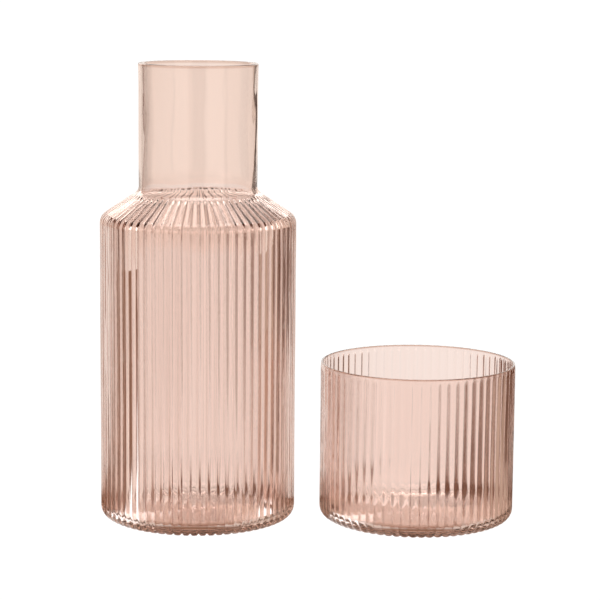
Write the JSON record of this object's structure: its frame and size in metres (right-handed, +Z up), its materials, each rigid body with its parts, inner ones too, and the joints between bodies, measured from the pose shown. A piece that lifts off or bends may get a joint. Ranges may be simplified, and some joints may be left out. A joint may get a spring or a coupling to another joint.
{
  "type": "bedside carafe with tumbler",
  "caption": "Ribbed, rose-tinted glass water carafe with a straight smooth neck, and a short wide ribbed tumbler beside it, for keeping and drinking water at the bedside.",
  "frame": {"origin": "on the table, half way between the carafe's axis and the tumbler's axis: the bottom centre of the bounding box", "axes": "+Z up; the carafe stands on the -X side and the tumbler on the +X side; the picture looks along +Y"},
  "size_m": [0.1876, 0.088, 0.2053],
  "materials": {
    "rose_glass": "clear, smooth, pale rose-brown tint through the glass, ribbed outside"
  },
  "bodies": {
    "carafe": {"carafe": "rose_glass"},
    "tumbler": {"tumbler": "rose_glass"}
  },
  "joints": [
    {"name": "tumbler_lift", "type": "slide", "parent": "carafe", "child": "tumbler", "axis": [0, 0, 1], "range_m": [0, 0.22]}
  ]
}
